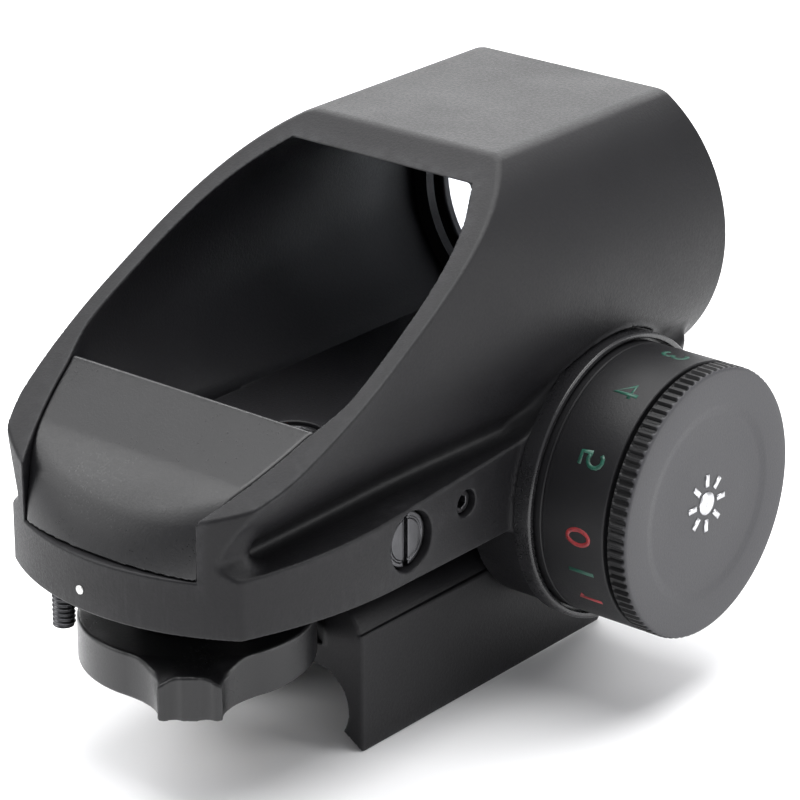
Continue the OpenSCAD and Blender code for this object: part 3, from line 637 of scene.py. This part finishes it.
def ribbon(points, width, low, high, place, closed=False):
    """Raised line along 2D points: place turns (u, v, height) into a 3D point."""
    path = np.array(points, float)
    ahead, behind = np.roll(path, -1, 0), np.roll(path, 1, 0)
    if not closed:
        ahead[-1] = path[-1]
        behind[0] = path[0]
    along = ahead - behind
    along /= np.linalg.norm(along, axis=1, keepdims=True)
    side = np.stack([-along[:, 1], along[:, 0]], 1) * width / 2
    left, right = path + side, path - side
    edges = ((left, low), (left, high), (right, high), (right, low))
    rings = [[place(*q, h) for q in line] for line, h in edges]
    verts = np.array(rings).transpose(1, 0, 2).reshape(-1, 3)
    count = len(path)
    faces = []
    for i in range(count if closed else count - 1):
        j = (i + 1) % count
        faces += [(4 * i + k, 4 * i + (k + 1) % 4, 4 * j + (k + 1) % 4, 4 * j + k) for k in range(4)]
    if not closed:
        faces += [(3, 2, 1, 0), tuple(4 * (count - 1) + k for k in range(4))]
    return verts, np.array(faces)


def joined(name, parts):
    """One object from several (points, faces) pairs."""
    points, faces, start = [], [], 0
    for p, f in parts:
        points.append(p)
        faces.append(f + start)
        start += len(p)
    piece = new_object(name, mesh_from(name, np.concatenate(points), np.concatenate(faces)))
    return piece


def oval(cx, cy, rx, ry, a0, a1, n=14):
    return [(cx + rx * math.cos(math.radians(a)), cy + ry * math.sin(math.radians(a)))
            for a in np.linspace(a0, a1, n)]


# Strokes of the digits, in a cell one unit high with its middle at the origin
DIGITS = {
    0: [(oval(0, 0, 0.27, 0.43, 0, 345, 24), True)],
    1: [([(-0.16, 0.28), (0.02, 0.45), (0.02, 0.0), (0.02, -0.45)], False)],
    2: [(oval(0, 0.19, 0.25, 0.25, 165, -35, 9) + [(-0.26, -0.43), (0.28, -0.43)], False)],
    3: [(oval(0, 0.21, 0.23, 0.22, 150, -80, 9) + oval(0, -0.2, 0.26, 0.24, 80, -150, 9), False)],
    4: [([(0.14, -0.46), (0.14, 0.45), (-0.28, -0.17), (0.31, -0.17)], False)],
    "tick": [([(0, 0.5), (0, 0), (0, -0.5)], False)],
    5: [([(0.25, 0.43), (-0.19, 0.43), (-0.22, 0.03)] + oval(0, -0.15, 0.27, 0.29, 125, -140, 10), False)],
}
STROKE_W = 0.15
DIGIT_H = 3.0
DIGIT_X = 26.3


def drum_point(angle):
    """Places digit coordinates on the drum: up is towards the collar."""
    def place(u, v, h):
        turn = angle + u * DIGIT_H / DRUM_R
        r = DRUM_R + h
        return (DIGIT_X - v * DIGIT_H, KNOB_Y + r * math.cos(turn), KNOB_Z + r * math.sin(turn))
    return place


def digit_piece(name, marks):
    """One object for all digits of one colour: marks are (digit, angle in degrees)."""
    parts = []
    for digit, degrees in marks:
        for stroke, closed in DIGITS[digit]:
            parts.append(ribbon(stroke, STROKE_W, -0.05, 0.03, drum_point(math.radians(degrees)), closed))
    return joined(name, parts)


ICON_R = 3.1


def icon_piece():
    """Generic brightness icon on the cap: a ring-less sun of a disc and eight rays."""
    x = CAP_X1 - 0.2

    def place(u, v, h):
        return (x + h, KNOB_Y + u, KNOB_Z + v)

    parts = [ribbon(oval(0, 0, 0.62, 0.62, 0, 350, 36), 1.2, -0.05, 0.1, place, True)]
    for i in range(8):
        a = i * math.pi / 4
        ray = [(t * math.cos(a), t * math.sin(a)) for t in (0.58 * ICON_R, 0.8 * ICON_R, ICON_R)]
        parts.append(ribbon(ray, 0.55, -0.05, 0.1, place))
    return joined("cap_icon", parts)


# ---------------------------------------------------------------- materials
class Nodes:
    """Short names for building one node material."""

    def __init__(self, name):
        self.material = bpy.data.materials.new(name)
        self.material.use_nodes = True
        self.tree = self.material.node_tree
        self.shader = self.tree.nodes["Principled BSDF"]
        self.coords = self.tree.nodes.new("ShaderNodeTexCoord").outputs["Object"]

    def link(self, a, b):
        self.tree.links.new(a, b)

    def noise(self, per_mm, detail=4, rough=0.55):
        node = self.tree.nodes.new("ShaderNodeTexNoise")
        node.inputs["Scale"].default_value = per_mm / MM
        node.inputs["Detail"].default_value = detail
        node.inputs["Roughness"].default_value = rough
        self.link(self.coords, node.inputs["Vector"])
        return node.outputs["Fac"]

    def ramp(self, value, low, high, out_low, out_high):
        node = self.tree.nodes.new("ShaderNodeMapRange")
        sockets = ("From Min", "From Max", "To Min", "To Max")
        for socket, number in zip(sockets, (low, high, out_low, out_high)):
            node.inputs[socket].default_value = number
        self.link(value, node.inputs["Value"])
        return node.outputs["Result"]

    def math(self, operation, a, b):
        node = self.tree.nodes.new("ShaderNodeMath")
        node.operation = operation
        for socket, value in zip(node.inputs, (a, b)):
            if isinstance(value, (int, float)):
                socket.default_value = value
            else:
                self.link(value, socket)
        return node.outputs[0]

    def attribute(self, name):
        node = self.tree.nodes.new("ShaderNodeAttribute")
        node.attribute_name = name
        return node.outputs["Fac"]

    def along_x(self):
        node = self.tree.nodes.new("ShaderNodeSeparateXYZ")
        self.link(self.coords, node.inputs[0])
        return node.outputs["X"]

    def mix(self, factor, a, b):
        node = self.tree.nodes.new("ShaderNodeMix")
        node.data_type = "RGBA"
        self.link(factor, node.inputs["Factor"])
        for socket, value in ((node.inputs[6], a), (node.inputs[7], b)):
            if isinstance(value, tuple):
                socket.default_value = (*value, 1)
            else:
                self.link(value, socket)
        return node.outputs[2]

    def bump(self, height, distance):
        node = self.tree.nodes.new("ShaderNodeBump")
        node.inputs["Distance"].default_value = distance * MM
        node.inputs["Strength"].default_value = 1.0
        self.link(height, node.inputs["Height"])
        self.link(node.outputs["Normal"], self.shader.inputs["Normal"])


def coated(name, colour, light, rough, grain=0.03, grain_per_mm=3.5, specular=0.5, shade_below=None):
    """Coated metal or moulded plastic: fine grain, mottling, paler worn edges and painted shade that darkens
    the inner corners.

    Where shade_below is given, the part below that X is painted much darker as shade, while the face beyond
    it keeps a lighter colour that paints the light falling on it.
    """
    n = Nodes(name)
    blotch = n.noise(0.12, 3)
    fine = n.noise(grain_per_mm, 5, 0.6)
    tone = n.ramp(blotch, 0.3, 0.7, 0.0, 0.6)
    colour_out = n.mix(tone, colour, tuple(c * 1.25 for c in colour))
    worn = n.math("MULTIPLY", n.attribute("edge"), n.ramp(n.noise(0.9, 3), 0.35, 0.7, 0.1, 0.9))
    colour_out = n.mix(n.math("MULTIPLY", worn, 0.5), colour_out, light)
    # Painted shade: inner corners are darkened towards half the colour, where shade falls.
    corner_shade = n.math("MULTIPLY", n.attribute("cavity"), 0.4)
    colour_out = n.mix(corner_shade, colour_out, tuple(c * 0.5 for c in colour))
    # Painted light and shade: the face beyond shade_below keeps the lightened colour of a lit face, and the
    # part below is darkened to a fifth as painted shade.
    if shade_below is not None:
        face = n.ramp(n.along_x(), (shade_below - 0.1) * MM, (shade_below + 0.1) * MM, 0, 1)
        colour_out = n.mix(face, tuple(c * 0.2 for c in colour), colour_out)
    n.link(colour_out, n.shader.inputs["Base Color"])
    grain_rough = n.ramp(fine, 0.3, 0.7, rough - 0.06, rough + 0.06)
    spread = n.math("ADD", grain_rough, n.ramp(blotch, 0.3, 0.7, -0.03, 0.03))
    n.link(spread, n.shader.inputs["Roughness"])
    n.shader.inputs["Specular IOR Level"].default_value = specular
    n.bump(fine, grain)
    return n.material


def metal(name, colour, rough):
    """Plain metal with faint turning marks and stains."""
    n = Nodes(name)
    fine = n.noise(8.0, 4, 0.6)
    stain = n.noise(0.5, 3)
    colour_out = n.mix(n.ramp(stain, 0.35, 0.75, 0, 1), colour, tuple(c * 0.72 for c in colour))
    n.link(colour_out, n.shader.inputs["Base Color"])
    n.link(n.ramp(fine, 0.3, 0.7, rough - 0.08, rough + 0.1), n.shader.inputs["Roughness"])
    n.shader.inputs["Metallic"].default_value = 1.0
    n.bump(fine, 0.01)
    return n.material


def paint(name, colour, rough=0.45):
    """Printed or filled mark, slightly uneven and rubbed."""
    n = Nodes(name)
    rub = n.ramp(n.noise(2.5, 4), 0.3, 0.65, 0.45, 1.0)
    n.link(n.mix(rub, (0.02, 0.02, 0.022), colour), n.shader.inputs["Base Color"])
    n.link(n.ramp(n.noise(5, 3), 0.3, 0.7, rough - 0.1, rough + 0.1), n.shader.inputs["Roughness"])
    return n.material


def clear(name, colour, rough):
    """Glass or clear plastic with faint smudges."""
    n = Nodes(name)
    smudge = n.noise(0.25, 3)
    n.link(n.ramp(smudge, 0.4, 0.75, rough, rough + 0.06), n.shader.inputs["Roughness"])
    n.link(n.mix(n.ramp(smudge, 0.4, 0.8, 0, 1), colour, tuple(c * 0.94 for c in colour)),
           n.shader.inputs["Base Color"])
    n.shader.inputs["Transmission Weight"].default_value = 1.0
    n.shader.inputs["IOR"].default_value = 1.5
    return n.material


MATERIALS = {
    "body_black": coated("body_black", (0.0052, 0.0050, 0.0060), (0.035, 0.035, 0.038), 0.50, 0.03, 3.5,
                         0.28),
    "cover_black": coated("cover_black", (0.0050, 0.0049, 0.0056), (0.028, 0.028, 0.030), 0.33, 0.015, 4.0,
                          0.45),
    "knob_black": coated("knob_black", (0.0070, 0.0069, 0.0078), (0.035, 0.035, 0.038), 0.46, 0.02, 4.5,
                         0.30),
    # The cap is the knob's black finish painted lighter on its face as painted light, with its rim painted
    # back down as shade.
    "cap_painted_light": coated("cap_painted_light", (0.0340, 0.0335, 0.0370), (0.09, 0.09, 0.095), 0.50, 0.02, 4.5, 0.40,
                       shade_below=CAP_X1 - 0.4),
    # The collar is body_black painted lighter: a painted highlight standing in for the bright line along its
    # lip.
    "collar_painted_highlight": coated("collar_painted_highlight", (0.0120, 0.0118, 0.0130), (0.04, 0.04, 0.043), 0.30, 0.01, 4.5,
                           0.6),
    "rubber_black": coated("rubber_black", (0.008, 0.008, 0.008), (0.02, 0.02, 0.02), 0.7, 0.02, 4.0),
    "lens_glass": clear("lens_glass", (0.90, 0.94, 1.0), 0.0),
    "window_red": clear("window_red", (0.75, 0.10, 0.08), 0.02),
    "steel_dark": metal("steel_dark", (0.10, 0.10, 0.105), 0.35),
    "steel_bright": metal("steel_bright", (0.60, 0.60, 0.61), 0.28),
    "brass": metal("brass", (0.70, 0.50, 0.22), 0.3),
    "zinc_grey": metal("zinc_grey", (0.42, 0.42, 0.43), 0.45),
    "board_green": coated("board_green", (0.02, 0.12, 0.05), (0.05, 0.2, 0.1), 0.4, 0.01),
    "cell_steel": metal("cell_steel", (0.75, 0.75, 0.76), 0.22),
    "led_clear": clear("led_clear", (0.95, 0.92, 0.85), 0.15),
    "wire_red": coated("wire_red", (0.35, 0.02, 0.02), (0.4, 0.05, 0.05), 0.4, 0.01),
    "index_white": paint("index_white", (0.9, 0.9, 0.88), 0.4),
    "digit_green": paint("digit_green", (0.014, 0.095, 0.062)),
    "digit_red": paint("digit_red", (0.34, 0.028, 0.032)),
    "icon_silver": metal("icon_silver", (0.78, 0.78, 0.80), 0.35),
}


def dress(piece, material):
    """Gives a piece one material."""
    piece.data.materials.clear()
    piece.data.materials.append(MATERIALS[material])


def finish_piece(piece, body, material, *nodes, slot=None):
    dress(piece, material)
    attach(piece, body)
    if nodes:
        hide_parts(*nodes)
    return piece


def dress_cad_nodes():
    """Every CAD node gets the material of its slot in the record."""
    slots = {row["node"]: row["material_slot"] for row in frame["record"]["subparts"]}
    for name, piece in frame["nodes"].items():
        piece.data.materials.clear()
        piece.data.materials.append(MATERIALS[slots[name]])


# ---------------------------------------------------------------- pieces
def make_castings():
    grid = [
        ("housing_shell", housing_field, "housing", "chassis", "body_black", 0.26, 0.22),
        ("rear_dome", cover_field, "rear_cover", "chassis", "cover_black", 0.25, 0.45),
        ("clamp_body", clamp_field, "mount_base", "chassis", "body_black", 0.3, 0.35),
        ("left_jaw", jaw_field, "clamp_jaw", "clamp_jaw", "body_black", 0.3, 0.35),
        ("reticle_dial", dial_field, "selector_dial", "selector_dial", "cover_black", 0.25, 0.5),
    ]
    for name, field, node, body, material, step, share in grid:
        low, high = node_box(node)
        if node == "rear_cover":
            low, high = low - (0, 0, 0.5), high + (0, 0, 1)
        finish_piece(field_piece(name, field, low, high, step, share), body, material, node)


def make_screws():
    def windage(p):
        return slotted_field(p, 0, WINDAGE_LOW, WINDAGE_HIGH, WINDAGE_C, 1)

    def elevation(p):
        return slotted_field(p, 2, ELEVATION_LOW, ELEVATION_HIGH, ELEVATION_C, 0)

    def windage_lock(p):
        return socket_field(p, 0, WINDAGE_LOCK_LOW, WINDAGE_LOCK_HIGH, WINDAGE_LOCK_C, 1.22, 1.25, 1.0)

    def elevation_lock(p):
        return socket_field(p, 2, ELEVATION_LOCK_LOW, ELEVATION_LOCK_HIGH, ELEVATION_LOCK_C, 1.22, 1.25, 1.0)

    rows = [
        ("windage_adjuster", windage, "windage_screw", 0.13, 0.6),
        ("elevation_adjuster", elevation, "elevation_screw", 0.13, 0.6),
        ("windage_lock_screw", windage_lock, "windage_lock", 0.1, 0.6),
        ("elevation_lock_screw", elevation_lock, "elevation_lock", 0.1, 0.6),
    ]
    for end in ("front", "rear"):
        node = "clamp_screw_" + end
        low, high = node_box(node)

        def bolt(p, low=low, high=high):
            return bolt_field(p, low, high)

        rows.append(("clamp_bolt_" + end, bolt, node, 0.15, 0.6))
    for name, field, node, step, share in rows:
        low, high = node_box(node)
        finish_piece(field_piece(name, field, low, high, step, share), node, "steel_dark", node)
    low, high = node_box("stop_screw")
    stop = field_piece("dial_stop", stop_field, low, high, 0.08, 0.6)
    finish_piece(stop, "chassis", "steel_dark", "stop_screw")


def make_knob():
    # The collar's lighter colour is a painted highlight for the bright line along its lip.
    finish_piece(collar_piece(), "chassis", "collar_painted_highlight", "knob_collar", slot="body_black")
    finish_piece(drum_piece(), "brightness_drum", "knob_black", "brightness_drum")
    # The cap's lighter face is painted light on the knob's black finish.
    finish_piece(cap_piece(), "battery_cap", "cap_painted_light", "battery_cap", slot="knob_black")
    finish_piece(icon_piece(), "battery_cap", "icon_silver", slot="steel_bright")
    pitch = 360 / 11
    zero = 181.5
    green = [(6 - k, zero - pitch * k) for k in range(1, 6)]
    green.append(("tick", zero + pitch / 2))
    red = [(0, zero)] + [(k, zero + pitch * k) for k in range(1, 6)]
    finish_piece(digit_piece("digits_green", green), "brightness_drum", "digit_green", slot="index_white")
    finish_piece(digit_piece("digits_red", red), "brightness_drum", "digit_red", slot="index_white")


# ---------------------------------------------------------------- stage, light and camera
AIM = Vector((-2.4, 4.2, 18.6)) * MM
AZIMUTH, ELEVATION, DISTANCE = math.radians(39.36), math.radians(22.39), 389.2 * MM


def make_camera():
    back = Vector((math.sin(AZIMUTH) * math.cos(ELEVATION), -math.cos(AZIMUTH) * math.cos(ELEVATION),
                   math.sin(ELEVATION)))
    right = Vector((math.cos(AZIMUTH), math.sin(AZIMUTH), 0))
    up = back.cross(right)
    data = bpy.data.cameras.new("camera")
    data.sensor_width = 36
    data.lens = 168.1
    data.clip_start, data.clip_end = 0.02, 20
    camera = bpy.data.objects.new("camera", data)
    turn = Matrix((right, up, back)).transposed().to_4x4()
    camera.matrix_world = Matrix.Translation(AIM + back * DISTANCE) @ turn
    bpy.context.scene.collection.objects.link(camera)
    bpy.context.scene.camera = camera


def area_light(name, place, target, size, power):
    data = bpy.data.lights.new(name, "AREA")
    data.shape = "RECTANGLE"
    data.size, data.size_y = size
    data.energy = power
    lamp = bpy.data.objects.new(name, data)
    lamp.location = place
    lamp.rotation_euler = (Vector(target) - Vector(place)).to_track_quat("-Z", "Y").to_euler()
    bpy.context.scene.collection.objects.link(lamp)


def make_stage():
    floor_z = cad_box[0][2] - 0.02 * MM
    size = 3.0
    mesh = bpy.data.meshes.new("floor")
    corners = [(x * size, y * size, floor_z) for x, y in ((-1, -1), (1, -1), (1, 1), (-1, 1))]
    mesh.from_pydata(corners, [], [(0, 1, 2, 3)])
    floor = new_object("floor", mesh)
    n = Nodes("floor")
    n.link(n.mix(n.noise(0.02, 2), (0.93, 0.93, 0.94), (0.97, 0.97, 0.97)), n.shader.inputs["Base Color"])
    n.shader.inputs["Roughness"].default_value = 0.9
    floor.data.materials.append(n.material)


def make_lights():
    world = bpy.data.worlds.new("studio")
    world.use_nodes = True
    sky = world.node_tree.nodes["Background"]
    sky.inputs["Color"].default_value = (0.95, 0.96, 1.0, 1)
    sky.inputs["Strength"].default_value = 0.4
    bpy.context.scene.world = world
    area_light("top", (0.0, 0.05, 0.7), (0, 0, 0), (0.7, 0.7), 9)
    area_light("left", (-0.6, -0.5, 0.35), (0, 0, 0.02), (0.4, 0.5), 1.6)
    area_light("crest", (-0.5, -0.24, 0.62), (0, -0.035, 0.025), (0.4, 0.4), 2.0)
    area_light("right_front", (0.7, 0.35, 0.3), (0, 0, 0.02), (0.4, 0.5), 2.5)
    area_light("behind", (-0.5, 0.62, 0.42), (0, 0, 0.03), (0.9, 0.4), 5.5)


make_camera()
make_stage()
make_lights()
dress_cad_nodes()
make_castings()
make_screws()
make_knob()
bpy.context.scene.view_settings.view_transform = "Standard"
